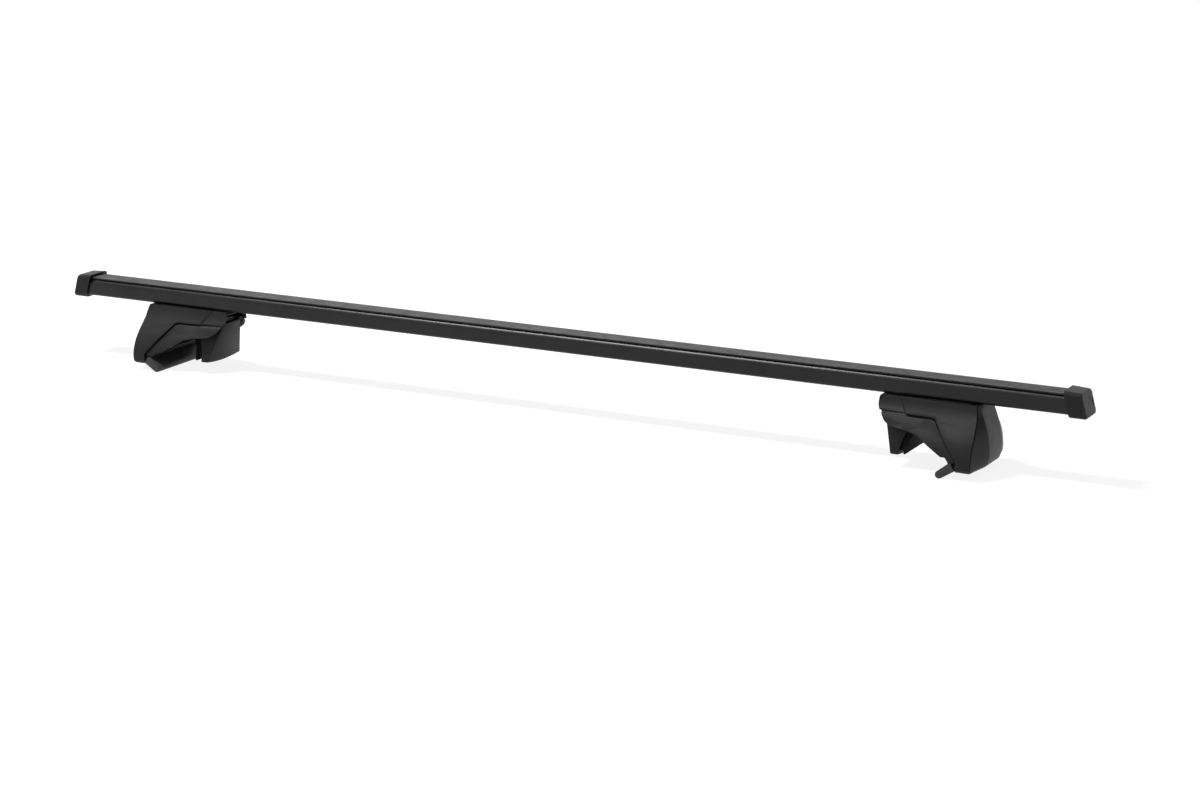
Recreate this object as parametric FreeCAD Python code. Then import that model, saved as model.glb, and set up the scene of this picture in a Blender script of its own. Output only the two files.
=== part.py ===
import FreeCAD, Part
import os
from math import atan2, cos, exp, hypot, log, pi, radians, sin, tan

Vector = FreeCAD.Vector

# Roof cross bar with two clamp feet for raised side rails.
# X runs along the bar, Y along the rails, Z up; Z = 0 is the lowest point of the feet.
# Sizes in millimetres. Foot sizes use u (outboard from the foot's middle) and d (depth below the bar).

# Bar
OVERALL_LENGTH = 1270.0
BAR_WIDTH = 30.0
BAR_HEIGHT = 20.0
BAR_CORNER = 4.0
BAR_WALL = 1.6
GROOVE_WIDTH = 12.0
GROOVE_DEPTH = 2.5
STRIP_WIDTH = 25.0
STRIP_PROUD = 2.0
STRIP_RIBS = 7
RIB_DEPTH = 0.5
CAP_WALL = 2.5
CAP_FALL = 0.9
CAP_SLOT_Y = 11.0
CAP_SLOT_WIDTH = 2.4
CAP_SLOT_HEIGHT = 6.0
CAP_SLOT_DEPTH = 1.6
CAP_LENGTH = 19.0
CAP_LEAN = 15.0
CAP_END = 4.0
CAP_CORNER = 5.0
CAP_RIM = 2.4
PLUG_LENGTH = 24.0

# Fits
FIT = 0.15
SLIDE_FIT = 0.25
RUN_FIT = 0.05
PART_GAP = 0.3

# Foot body
FOOT_INSET = 160.0
FLARE_TOP = BAR_WIDTH / 2 + 4.5
FLARE_BASE = 51.0
FLARE_DROP = 57.0
STATIONS = 8
COVER_TOP = 0.5
COVER_WALL = 3.0
COVER_BASE = 66.5
CREASE_U = 49.6
CREASE_BOW = 5.6
CREASE_DROP = 40.0
NOSE_HALF = 19.0
NOSE_TOP_U = 46.2
NOSE_REACH = 59.6
NOSE_DROP = 47.0
NOSE_CURL = 0.011
CREASE_ROUND = 1.5
CHIN_ROUND = 6.0
SEAM = 0.5
TAB_REACH = 6.0
TAB_ROOT = 3.0
TAB_THICK = 1.8
TAB_TOP = 12.0
TAB_BASE = 52.0
EAR_U = -51.0
EAR_DROP = 7.0
EAR_RADIUS = 13.0
DISH_RADIUS = 15.5
DISH_DEPTH = 2.2
DISH_SLOPE = 40.0
LINE_DROP = 16.5
LINE_CORNER_U = 2.4
LINE_SLOPE = 50.0
LINE_RUN = 31.6
LINE_GAP = 2.2
STEP = 1.0

# Saddle and its arch
SADDLE_TOP = 3.5
SADDLE_END = 35.0
SKIRT_RECESS = 6.0
SKIRT_LEVEL = 30.0
VALLEY_U = 9.8
VALLEY_DROP = 39.5
FOLD_BLEND = 1.0
CAVITY_INSET = 6.5
CAVITY_END = 2.0
PAD_THICK = 2.5
PAD_SET = 1.5
PAD_HALF = 34.0

# Steel bracket with the outer lip
PLATE = 3.5
FLANGE_HALF = 14.0
FLANGE_START = -12.0
LEG_U = SADDLE_END + PART_GAP
LIP_ANGLE = 32.0
LIP_U = 16.4
LIP_DROP = 69.6
LIP_HALF = 47.0
LIP_ROOM = 54.0
BOOT_THICK = 8.4
BOOT_HALF = 51.5
BOOT_LENGTH = 17.0
BOOT_FLAT = 0.2

# Jaw and its screw
SCREW_DROP = 19.5
SCREW_RADIUS = 4.0
SCREW_TIP = -34.0
HEAD_RADIUS = 6.5
HEAD_LENGTH = 8.0
KEY_FLATS = 6.0
WASHER_RADIUS = 8.0
WASHER_THICK = 1.6
NUT_FLATS = 13.0
NUT_THICK = 6.5
NUT_U = -30.0
JAW_TRAVEL = 18.0
TONGUE_TOP = 6.5
TONGUE_THICK = 4.0
TONGUE_HALF = 17.5
TONGUE_START = -58.0
TONGUE_END = -19.0
NECK_HALF = 14.0
JAW_TOP = 14.5
JAW_TOP_U = -58.5
JAW_BASE = 59.0
JAW_BASE_U = -44.5
JAW_TOP_HALF = 17.0
JAW_BASE_HALF = 34.2
JAW_BULGE = 3.0
PAD_CORE = 5.5
PAD_PLATE = 2.6
PAD_GROOVE = 2.6
PAD_RISE = 1.2

# Bolts that hold a foot to the bar
BOLT_RADIUS = 3.0
BOLT_U = (9.0, 26.0)
BOLT_END = 11.5
TEE_LENGTH = 14.0
TEE_WIDTH = 12.0
TEE_THICK = 4.0
BOLT_NUT_FLATS = 10.0
BOLT_NUT_THICK = 6.0
SLOT_WIDTH = 7.0
SLIDE_IN = 60.0
SLIDE_OUT = 40.0

# Values that follow from the sizes above
FOOT_X = OVERALL_LENGTH / 2 - FOOT_INSET
BAR_BASE = LIP_DROP + BOOT_THICK / 2 - BOOT_FLAT
BAR_TOP = BAR_BASE + BAR_HEIGHT
STRIP_TOP = BAR_TOP + STRIP_PROUD
CAP_BASE = BAR_BASE - CAP_WALL
CAP_TOP = STRIP_TOP + CAP_WALL
CAP_SLANT = (CAP_TOP - CAP_BASE) * tan(radians(CAP_LEAN))
RIM_LOSS = CAP_RIM * (1 / tan(radians(45 - CAP_LEAN / 2)) - 1)
CAP_OUT_TOP = OVERALL_LENGTH / 2 + RIM_LOSS - CAP_SLANT
CAP_IN_TOP = CAP_OUT_TOP - CAP_LENGTH
TUBE_HALF = CAP_OUT_TOP - CAP_END
FLANGE_TOP = SLIDE_FIT
FLANGE_BASE = FLANGE_TOP + 3.0
LEG_OUT = LEG_U + PLATE


def place(u, d, y):
    """A point of the right foot from its own sizes."""
    return Vector(FOOT_X + u, y, BAR_BASE - d)


def rounded_edges(points, locate):
    """Edges of a closed outline whose corners (a, b, radius) are rounded by arcs."""
    edges = []
    count = len(points)
    ends = []
    for i in range(count):
        ax, ay = points[i][:2]
        radius = points[i][2] if len(points[i]) > 2 else 0.0
        px, py = points[i - 1][:2]
        nx, ny = points[(i + 1) % count][:2]
        before = hypot(px - ax, py - ay)
        after = hypot(nx - ax, ny - ay)
        bx, by = (px - ax) / before, (py - ay) / before
        cx, cy = (nx - ax) / after, (ny - ay) / after
        if radius == 0.0:
            ends.append(((ax, ay), None, (ax, ay)))
            continue
        half = abs(atan2(bx * cy - by * cx, bx * cx + by * cy)) / 2
        back = radius / tan(half)
        mx, my = bx + cx, by + cy
        size = hypot(mx, my)
        reach = radius / sin(half) - radius
        middle = (ax + mx / size * reach, ay + my / size * reach)
        ends.append(((ax + bx * back, ay + by * back), middle, (ax + cx * back, ay + cy * back)))
    for i in range(count):
        start, middle, end = ends[i]
        if middle is not None:
            edges.append(Part.Arc(locate(*start), locate(*middle), locate(*end)).toShape())
        following = ends[(i + 1) % count][0]
        if hypot(following[0] - end[0], following[1] - end[1]) > 1e-6:
            edges.append(Part.makeLine(locate(*end), locate(*following)))
    return edges


def prism(points, locate, path):
    """Solid made by sweeping a rounded outline along a straight path."""
    wire = Part.Wire(Part.__sortEdges__(rounded_edges(points, locate)))
    return Part.Face(wire).extrude(path)


def side_prism(points, half):
    """Outline in (u, d), swept evenly to both sides in Y."""
    return prism(points, lambda u, d: place(u, d, -half), Vector(0, 2 * half, 0))


def end_prism(points, start, end):
    """Outline in (y, d), swept along the bar from u = start to u = end."""
    return prism(points, lambda y, d: place(start, d, y), Vector(end - start, 0, 0))


def section_prism(points, half):
    """Outline in (y, z) of the bar, swept evenly to both sides in X."""
    return prism(points, lambda y, z: Vector(-half, y, z), Vector(2 * half, 0, 0))


def rectangle(a0, b0, a1, b1, radius=0.0):
    return [(a0, b0, radius), (a1, b0, radius), (a1, b1, radius), (a0, b1, radius)]


def foot_box(u0, u1, d0, d1, half):
    return Part.makeBox(u1 - u0, 2 * half, d1 - d0, place(u0, d1, -half))


def rod(u0, u1, d, radius):
    """Round bar along X in the middle of the foot."""
    return Part.makeCylinder(radius, u1 - u0, place(u0, d, 0), Vector(1, 0, 0))


def post(u, d0, d1, radius):
    """Round bar along Z in the middle of the foot."""
    return Part.makeCylinder(radius, d1 - d0, place(u, d1, 0), Vector(0, 0, 1))


def hexagon(flats):
    """Corners of a hexagon with the given width across flats."""
    reach = flats / 2 / cos(pi / 6)
    return [(reach * cos(pi / 3 * k), reach * sin(pi / 3 * k)) for k in range(6)]


def flare(d):
    """Half width of the foot at depth d."""
    return FLARE_TOP + (FLARE_BASE - FLARE_TOP) * sin(pi / 2 * min(1.0, max(0.0, d) / FLARE_DROP)) ** 1.5


def crease(d):
    """Outboard end of the foot's flat flank at depth d."""
    return CREASE_U - CREASE_BOW * max(0.0, 1 - d / CREASE_DROP) ** 2


def nose(d):
    """Outboard reach of the nose panel at depth d."""
    rise = min(1.0, max(0.0, d / NOSE_DROP))
    swell = NOSE_TOP_U + (NOSE_REACH - NOSE_TOP_U) * rise * (1.75 - 0.75 * rise)
    return swell - NOSE_CURL * max(0.0, d - NOSE_DROP) ** 2


def flank_prism(inset, start, end, top, base):
    """Body between the two flared flanks, each moved in by inset."""
    depths = [top + (base - top) * k / (STATIONS - 1) for k in range(STATIONS)]
    right = [place(start, d, flare(d) - inset) for d in depths]
    left = [place(start, d, inset - flare(d)) for d in depths]
    curves = []
    for points in (right, left):
        curve = Part.BSplineCurve()
        curve.interpolate(points)
        curves.append(curve.toShape())
    lid = Part.makeLine(left[0], right[0])
    floor = Part.makeLine(right[-1], left[-1])
    face = Part.Face(Part.Wire([lid, curves[0], floor, curves[1]]))
    return face.extrude(Vector(end - start, 0, 0))


def foot_ring(d, inset, start, corner_round):
    """Level section of the foot: flat flanks, slanted facets and the nose panel, moved in by inset."""
    wide = flare(d) - inset
    narrow = NOSE_HALF - inset / 2
    corner = crease(d) - inset / 3
    reach = max(nose(d) - inset, corner + 0.5)
    far = [(start, wide), (corner, wide, corner_round), (reach, narrow, corner_round)]
    near = [(point[0], -point[1], *point[2:]) for point in reversed(far)]
    return Part.Wire(rounded_edges(far + near, lambda u, y: place(u, d, y)))


def foot_form(inset, start, top, base, corner_round):
    """Flared foot lofted through level sections."""
    depths = [top + (base - top) * k / (STATIONS - 1) for k in range(STATIONS)]
    return Part.makeLoft([foot_ring(d, inset, start, corner_round) for d in depths], True, False)


def chin_form(start):
    """Rounded lower end of the foot, below foot_form."""
    rings = []
    for k in range(5):
        turn = pi / 8 * k
        depth = COVER_BASE - CHIN_ROUND * (1 - sin(turn))
        rings.append(foot_ring(depth, CHIN_ROUND * (1 - cos(turn)), start, CREASE_ROUND))
    return Part.makeLoft(rings, True, False)


def line_at(gap):
    """Virtual corner and lower end of the cover's lower edge, moved down and inboard by gap."""
    slope = radians(LINE_SLOPE)
    corner = (LINE_CORNER_U - gap * (1 / cos(slope) - 1) / tan(slope), LINE_DROP + gap)
    low = (corner[0] + LINE_RUN, corner[1] + LINE_RUN * tan(slope))
    return corner, low


def cover_outline():
    """Side view of the cover above its lower edge."""
    corner, low = line_at(0.0)
    return [
        (EAR_U - 40, COVER_TOP),
        (90, COVER_TOP),
        (90, COVER_BASE + 1),
        (low[0] - 2.0, COVER_BASE + 1),
        (low[0], low[1], 4.0),
        (corner[0], corner[1], 9.0),
        (EAR_U - 40, LINE_DROP - 1.6),
    ]


def lip_room(length, half, wide):
    """Space along the lip, from past its tip, for what has to keep clear of it."""
    turn = radians(LIP_ANGLE)
    cu, cd = cos(turn), -sin(turn)
    nu, nd = half * sin(turn), half * cos(turn)
    tip = (LIP_U - 9 * cu, LIP_DROP - 9 * cd)
    root = (LIP_U + length * cu, LIP_DROP + length * cd)
    ring = [
        (tip[0] + nu, tip[1] + nd),
        (root[0] + nu, root[1] + nd),
        (root[0] - nu, root[1] - nd),
        (tip[0] - nu, tip[1] - nd),
    ]
    return side_prism(ring, wide)


def cover_shell():
    """Whole flared cover with its nose, before it is parted at the seam."""
    ear = Part.makeCylinder(EAR_RADIUS, 200, place(EAR_U, EAR_DROP, -100), Vector(0, 1, 0))
    ear = ear.common(foot_box(-100, 0, COVER_TOP, 60, 100))
    reach = foot_box(EAR_U, 100, COVER_TOP, 100, 100).fuse(ear)
    form = foot_form(0.0, -90.0, COVER_TOP, COVER_BASE - CHIN_ROUND, CREASE_ROUND)
    form = form.fuse(chin_form(-90.0))
    solid = form.common(side_prism(cover_outline(), 60)).common(reach)
    hollow = foot_form(COVER_WALL, -95.0, SADDLE_TOP - PART_GAP, COVER_BASE - COVER_WALL, 0.0)
    solid = solid.cut(hollow)
    solid = solid.cut(foot_box(FLANGE_START - 1, LEG_OUT + 3, -1, 8, FLANGE_HALF + 1))
    solid = solid.cut(foot_box(-90, LEG_OUT + 1, LIP_ROOM, 80, LIP_HALF + 0.6))
    return solid.cut(lip_room(BOOT_LENGTH + PART_GAP, BOOT_THICK / 2 + PART_GAP, 60))


def seam_prism(shift):
    """Space outboard of the crease, which is moved outboard by shift."""
    depths = [-4 + 15 * k for k in range(6)]
    points = [place(crease(d) + shift, d, -60) for d in depths]
    curve = Part.BSplineCurve()
    curve.interpolate(points)
    far = [place(90, depths[-1], -60), place(90, depths[0], -60)]
    edges = [curve.toShape(), Part.makeLine(points[-1], far[0]), Part.makeLine(far[0], far[1])]
    edges.append(Part.makeLine(far[1], points[0]))
    return Part.Face(Part.Wire(edges)).extrude(Vector(0, 120, 0))


def ear_dish(side):
    """Round dish with a sloping wall in one flank of the ear."""
    wide = flare(EAR_DROP)
    centre = place(EAR_U, EAR_DROP, side * (wide - DISH_DEPTH - 4))
    reach = DISH_DEPTH + 12
    floor = DISH_RADIUS - (DISH_DEPTH + 4) / tan(radians(DISH_SLOPE))
    rim = floor + reach / tan(radians(DISH_SLOPE))
    cone = Part.makeCone(floor, rim, reach, centre, Vector(0, side, 0))
    return cone.cut(flank_prism(DISH_DEPTH, -100, 100, -4, COVER_BASE))


def foot_cover():
    solid = cover_shell().cut(seam_prism(-SEAM / 2))
    solid = solid.cut(flank_prism(COVER_WALL, LEG_OUT, 70, TAB_TOP - 1, TAB_BASE + 1))
    return solid.cut([ear_dish(-1), ear_dish(1)])


def end_cover():
    """Nose of the cover, which pulls off outboard and has two tabs inside the foot cover's walls."""
    solid = cover_shell().common(seam_prism(SEAM / 2))
    band = foot_box(-90, 90, TAB_TOP, TAB_BASE, 60).cut(foot_box(-90, 90, 0, 80, NOSE_HALF))
    inside = foot_form(COVER_WALL + SLIDE_FIT + TAB_THICK, -95.0, COVER_TOP, COVER_BASE, 0.0)
    for fit, start in ((SLIDE_FIT, -TAB_REACH), (-0.1, SEAM)):
        tab = foot_form(COVER_WALL + fit, -92.0, COVER_TOP, COVER_BASE, 0.0).cut(inside).common(band)
        tab = tab.common(seam_prism(start)).cut(seam_prism(TAB_ROOT))
        solid = solid.fuse(tab)
    return solid


def skirt_recess(u, d):
    """How far the skirt stands behind the flare: two slopes that meet in a smooth fold."""
    turn = radians(LINE_SLOPE)

    def off_line(a, b):
        return (b - LINE_DROP) * cos(turn) - (a - LINE_CORNER_U) * sin(turn)

    level = SKIRT_RECESS / 2 * (d - LINE_DROP) / (SKIRT_LEVEL - LINE_DROP)
    slope = SKIRT_RECESS * off_line(u, d) / off_line(VALLEY_U, VALLEY_DROP)
    return -FOLD_BLEND * log(exp(-level / FOLD_BLEND) + exp(-slope / FOLD_BLEND))


def skirt_form():
    """Flank of the saddle below the cover, lofted through level sections."""
    rings = []
    for k in range(STATIONS):
        d = 12.0 + 54.0 * k / (STATIONS - 1)
        widths = [(u, flare(d) - STEP - skirt_recess(u, d)) for u in range(-70, 51, 10)]
        sides = []
        for side in (-1, 1):
            curve = Part.BSplineCurve()
            curve.interpolate([place(u, d, side * wide) for u, wide in widths])
            sides.append(curve)
        near, far = sides
        start = Part.makeLine(far.StartPoint, near.StartPoint)
        end = Part.makeLine(near.EndPoint, far.EndPoint)
        rings.append(Part.Wire([start, near.toShape(), end, far.toShape()]))
    form = Part.makeLoft(rings, True, False)
    return form.common(flank_prism(STEP, -70, 50, 12, 66))


def saddle_outline():
    return [
        (-59.0, SADDLE_TOP),
        (SADDLE_END, SADDLE_TOP, PLATE),
        (SADDLE_END, 56.0),
        (25.0, 58.0, 1.0),
        (20.5, 52.0, 1.5),
        (16.0, 52.2, 3.0),
        (-14.0, 34.6, 14.0),
        (-27.0, 31.4, 10.0),
        (-46.5, 29.2, 2.5),
        (-53.5, 24.5, 3.0),
        (-60.0, 15.5, 1.0),
    ]


def arch_pad(thick, set_in, half):
    """Slab along the arch slope, starting set_in inside the saddle."""
    a = (-2.0, 41.6)
    b = (15.0, 51.6)
    along = hypot(b[0] - a[0], b[1] - a[1])
    ux, uy = (b[0] - a[0]) / along, (b[1] - a[1]) / along
    nx, ny = uy, -ux
    corners = []
    for point, side in ((a, set_in), (b, set_in), (b, set_in - thick), (a, set_in - thick)):
        corners.append((point[0] + nx * side, point[1] + ny * side, 0.6))
    return side_prism(corners, half)


def saddle():
    corner, low = line_at(LINE_GAP)
    below = [
        (-90, LINE_DROP - 1.6 + LINE_GAP),
        (corner[0], corner[1], 9.0),
        (low[0] - 2, low[1] - 2 * tan(radians(LINE_SLOPE))),
        (low[0] - 2, 90),
        (-90, 90),
    ]
    upper = flank_prism(COVER_WALL + PART_GAP, -59, SADDLE_END, SADDLE_TOP, 64)
    body = upper.fuse(skirt_form().common(side_prism(below, 60)))
    body = body.common(side_prism(saddle_outline(), 60))
    ear = Part.makeCylinder(EAR_RADIUS - 2.5, 200, place(EAR_U, EAR_DROP, -100), Vector(0, 1, 0))
    body = body.cut(foot_box(-80, EAR_U, 0, LINE_DROP - 1.6, 60).cut(ear))
    hole = flank_prism(CAVITY_INSET, -80, CAVITY_END, JAW_TOP - SLIDE_FIT, 64)
    hole = hole.fuse(foot_box(-80, CAVITY_END, TONGUE_TOP - SLIDE_FIT, TONGUE_TOP + TONGUE_THICK + SLIDE_FIT,
                              TONGUE_HALF + SLIDE_FIT))
    hole = hole.fuse(foot_box(-80, CAVITY_END, TONGUE_TOP, JAW_TOP, NECK_HALF + SLIDE_FIT))
    body = body.cut(hole)
    body = body.cut(rod(-10, SADDLE_END + 1, SCREW_DROP, SCREW_RADIUS + 0.5))
    body = body.cut(foot_box(BOLT_U[0] - 7, BOLT_U[1] + 7, SADDLE_TOP - 1, BOLT_END + 0.8, 6.6))
    body = body.cut(lip_room(60, PLATE / 2 + PART_GAP, 60))
    body = body.cut(lip_room(BOOT_LENGTH + PART_GAP, BOOT_THICK / 2 + PART_GAP, 60))
    return body.cut(arch_pad(PAD_THICK, PAD_SET, PAD_HALF))


def saddle_pad():
    return arch_pad(PAD_THICK - 0.1, PAD_SET - 0.1, PAD_HALF - 0.1)


def lip_axis():
    """Where the lip's middle line meets the leg's middle line."""
    middle = LEG_U + PLATE / 2
    return middle, LIP_DROP - (middle - LIP_U) * tan(radians(LIP_ANGLE))


def hook_bracket():
    half = PLATE / 2
    middle, knee = lip_axis()
    turn = radians(LIP_ANGLE)
    nu, nd = half * sin(turn), half * cos(turn)
    side = half / cos(turn) - half * tan(turn)
    far = half / cos(turn) + half * tan(turn)
    plate = [
        (FLANGE_START, FLANGE_TOP),
        (LEG_OUT, FLANGE_TOP, 6.0),
        (LEG_OUT, knee + side, 5.5),
        (LIP_U + nu, LIP_DROP + nd, 1.0),
        (LIP_U - nu, LIP_DROP - nd, 1.0),
        (LEG_U, knee - far + 2 * half * tan(turn), 2.0),
        (LEG_U, FLANGE_BASE, 3.0),
        (FLANGE_START, FLANGE_BASE),
    ]
    width = [
        (-FLANGE_HALF, -1),
        (FLANGE_HALF, -1),
        (FLANGE_HALF, 9, 8),
        (42.0, 47, 8),
        (LIP_HALF, 57, 4),
        (LIP_HALF, 80),
        (-LIP_HALF, 80),
        (-LIP_HALF, 57, 4),
        (-42.0, 47, 8),
        (-FLANGE_HALF, 9, 8),
    ]
    body = side_prism(plate, 60).common(end_prism(width, -80, 80))
    body = body.cut(rod(0, 80, SCREW_DROP, SCREW_RADIUS + 0.5))
    for u in BOLT_U:
        body = body.cut(post(u, -2, 8, BOLT_RADIUS + FIT))
    return body


def hook_boot():
    turn = radians(LIP_ANGLE)
    half = BOOT_THICK / 2
    root = (LIP_U + BOOT_LENGTH * cos(turn), LIP_DROP - BOOT_LENGTH * sin(turn))
    nu, nd = half * sin(turn), half * cos(turn)
    tongue = [
        (root[0] + nu, root[1] + nd),
        (LIP_U + nu, LIP_DROP + nd),
        (LIP_U - nu, LIP_DROP - nd),
        (root[0] - nu, root[1] - nd),
    ]
    tip = Part.makeCylinder(half, 2 * BOOT_HALF, place(LIP_U, LIP_DROP, -BOOT_HALF), Vector(0, 1, 0))
    body = side_prism(tongue, BOOT_HALF).fuse(tip).removeSplitter()
    body = body.cut(foot_box(-80, 80, BAR_BASE, BAR_BASE + 20, 80))
    slot_half = PLATE / 2 + 0.05
    su, sd = slot_half * sin(turn), slot_half * cos(turn)
    tip = (LIP_U - 0.1 * cos(turn), LIP_DROP + 0.1 * sin(turn))
    far = (root[0] + 5 * cos(turn), root[1] - 5 * sin(turn))
    slot = [
        (far[0] + su, far[1] + sd),
        (tip[0] + su, tip[1] + sd, 0.9),
        (tip[0] - su, tip[1] - sd, 0.9),
        (far[0] - su, far[1] - sd),
    ]
    return body.cut(side_prism(slot, LIP_HALF + 0.05))


def jaw_half(d):
    return JAW_TOP_HALF + (JAW_BASE_HALF - JAW_TOP_HALF) * (d - JAW_TOP) / (JAW_BASE - JAW_TOP)


def jaw_width(margin, base, bow):
    """End view of the jaw down to base: tapered flanks and a lower edge bowed down by bow."""
    top = jaw_half(JAW_TOP) - margin
    low = jaw_half(base) - margin
    ring = [(-low, base), (-top, JAW_TOP), (top, JAW_TOP), (low, base)]
    corners = [place(-80, d, y) for y, d in ring]
    edges = [Part.makeLine(corners[k], corners[k + 1]) for k in range(3)]
    if bow > 0:
        edges.append(Part.Arc(corners[3], place(-80, base + bow, 0), corners[0]).toShape())
    else:
        edges.append(Part.makeLine(corners[3], corners[0]))
    return Part.Face(Part.Wire(edges)).extrude(Vector(90, 0, 0))


def rail_face(shift):
    """Three points of the jaw's hollow rail face, moved outboard by shift."""
    return [(-36.0 + shift, 64.0), (-33.6 + shift, 47.0), (-28.0 + shift, 32.5)]


def jaw_slab(inner, outer):
    """Curved slab between two places of the rail face."""
    low = rail_face(inner)
    high = rail_face(outer)
    edges = [
        Part.Arc(*[place(u, d, -60) for u, d in low]).toShape(),
        Part.makeLine(place(*low[2], -60), place(*high[2], -60)),
        Part.Arc(*[place(u, d, -60) for u, d in high]).toShape(),
        Part.makeLine(place(*high[0], -60), place(*low[0], -60)),
    ]
    return Part.Face(Part.Wire(Part.__sortEdges__(edges))).extrude(Vector(0, 120, 0))


def clamp_jaw():
    low, mid, high = rail_face(0.0)
    slope = (JAW_BASE_U - JAW_TOP_U) / (JAW_BASE - JAW_TOP)
    corners = [
        place(JAW_TOP_U, JAW_TOP, -60),
        place(JAW_TOP_U + slope * (low[1] - JAW_TOP), low[1], -60),
        place(*low, -60),
        place(*high, -60),
        place(TONGUE_END, 26.5, -60),
        place(TONGUE_END, JAW_TOP, -60),
    ]
    edges = [Part.makeLine(corners[0], corners[1]), Part.makeLine(corners[1], corners[2])]
    edges.append(Part.Arc(corners[2], place(*mid, -60), corners[3]).toShape())
    edges += [Part.makeLine(corners[k], corners[(k + 1) % 6]) for k in (3, 4, 5)]
    block = Part.Face(Part.Wire(edges)).extrude(Vector(0, 120, 0)).common(jaw_width(0.0, JAW_BASE, JAW_BULGE))
    neck = foot_box(TONGUE_START + 5, TONGUE_END, TONGUE_TOP + 1, JAW_TOP + 1, NECK_HALF)
    slab = rectangle(TONGUE_START, TONGUE_TOP, TONGUE_END, TONGUE_TOP + TONGUE_THICK, 1.5)
    tongue = side_prism(slab, TONGUE_HALF)
    body = block.fuse([neck, tongue])
    pocket_half = NUT_FLATS / 2 + FIT
    body = body.cut(foot_box(NUT_U - NUT_THICK / 2 - FIT, NUT_U + NUT_THICK / 2 + FIT,
                             SCREW_DROP - pocket_half, SCREW_DROP + pocket_half, pocket_half))
    return body.cut(rod(SCREW_TIP - JAW_TRAVEL - 1, 0, SCREW_DROP, SCREW_RADIUS + 0.4))


def jaw_pad():
    base = JAW_BASE - PAD_RISE
    core = jaw_slab(FIT, PAD_CORE + 0.5).common(jaw_width(PAD_GROOVE, base - PAD_GROOVE, 0.0))
    plate = jaw_slab(PAD_CORE, PAD_CORE + PAD_PLATE).common(jaw_width(0.0, base, 0.0))
    return core.fuse(plate)


def clamp_nut():
    half = NUT_FLATS / 2
    nut = foot_box(NUT_U - NUT_THICK / 2, NUT_U + NUT_THICK / 2, SCREW_DROP - half, SCREW_DROP + half, half)
    return nut.cut(rod(NUT_U - 20, NUT_U + 20, SCREW_DROP, SCREW_RADIUS + RUN_FIT))


def head_seat():
    return LEG_OUT + WASHER_THICK + 2 * RUN_FIT


def screw_washer():
    start = LEG_OUT + RUN_FIT
    ring = rod(start, start + WASHER_THICK, SCREW_DROP, WASHER_RADIUS)
    return ring.cut(rod(start - 5, start + 9, SCREW_DROP, SCREW_RADIUS + 0.3))


def clamp_screw():
    seat = head_seat()
    head = rod(seat, seat + HEAD_LENGTH, SCREW_DROP, HEAD_RADIUS)
    rim = [e for e in head.Edges if e.BoundBox.XMin > FOOT_X + seat + 1 and e.BoundBox.YLength > 1]
    head = head.makeFillet(0.8, rim)
    shank = rod(SCREW_TIP, seat + 0.5, SCREW_DROP, SCREW_RADIUS)
    tip = [e for e in shank.Edges if e.BoundBox.XMax < FOOT_X + SCREW_TIP + 0.1]
    body = head.fuse(shank.makeChamfer(0.9, tip))
    key = end_prism([(y, SCREW_DROP + z) for y, z in hexagon(KEY_FLATS)], seat + HEAD_LENGTH - 4.5, seat + 20)
    return body.cut(key)


def bar_bolts():
    bolts = []
    inner = -BAR_WALL - FIT
    for u in BOLT_U:
        head = Part.makeBox(TEE_LENGTH, TEE_WIDTH, TEE_THICK,
                            place(u - TEE_LENGTH / 2, inner, -TEE_WIDTH / 2))
        bolts.append(head.fuse(post(u, inner - 0.5, BOLT_END, BOLT_RADIUS)))
    return Part.makeCompound(bolts)


def bar_nuts():
    nuts = []
    top = FLANGE_BASE + RUN_FIT
    for u in BOLT_U:
        ring = [(u + a, b) for a, b in hexagon(BOLT_NUT_FLATS)]
        block = prism(ring, lambda a, b: Vector(FOOT_X + a, b, BAR_BASE - top - BOLT_NUT_THICK),
                      Vector(0, 0, BOLT_NUT_THICK))
        nuts.append(block.cut(post(u, top - 3, top + BOLT_NUT_THICK + 3, BOLT_RADIUS + RUN_FIT)))
    return Part.makeCompound(nuts)


def bar_outline(margin):
    """Bar section in (y, z), moved outward by margin, without the groove."""
    half = BAR_WIDTH / 2 + margin
    return rectangle(-half, BAR_BASE - margin, half, BAR_TOP + margin, BAR_CORNER + margin)


def groove(margin, floor):
    half = GROOVE_WIDTH / 2 + margin
    return rectangle(-half, BAR_TOP - GROOVE_DEPTH - floor, half, BAR_TOP + 10)


def crossbar():
    body = section_prism(bar_outline(0.0), TUBE_HALF).cut(section_prism(groove(0.0, 0.0), TUBE_HALF))
    bore = section_prism(bar_outline(-BAR_WALL), TUBE_HALF)
    bore = bore.cut(section_prism(groove(BAR_WALL, BAR_WALL), TUBE_HALF))
    body = body.cut(bore)
    half = SLOT_WIDTH / 2
    start = FOOT_X + BOLT_U[0] - SLIDE_IN - half
    end = FOOT_X + BOLT_U[1] + SLIDE_OUT + half
    slot = prism(rectangle(start, -half, end, half, half * 0.99), lambda x, y: Vector(x, y, BAR_BASE - 1),
                 Vector(0, 0, BAR_WALL + 2))
    return body.cut([slot, slot.mirror(Vector(0, 0, 0), Vector(1, 0, 0))])


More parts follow.
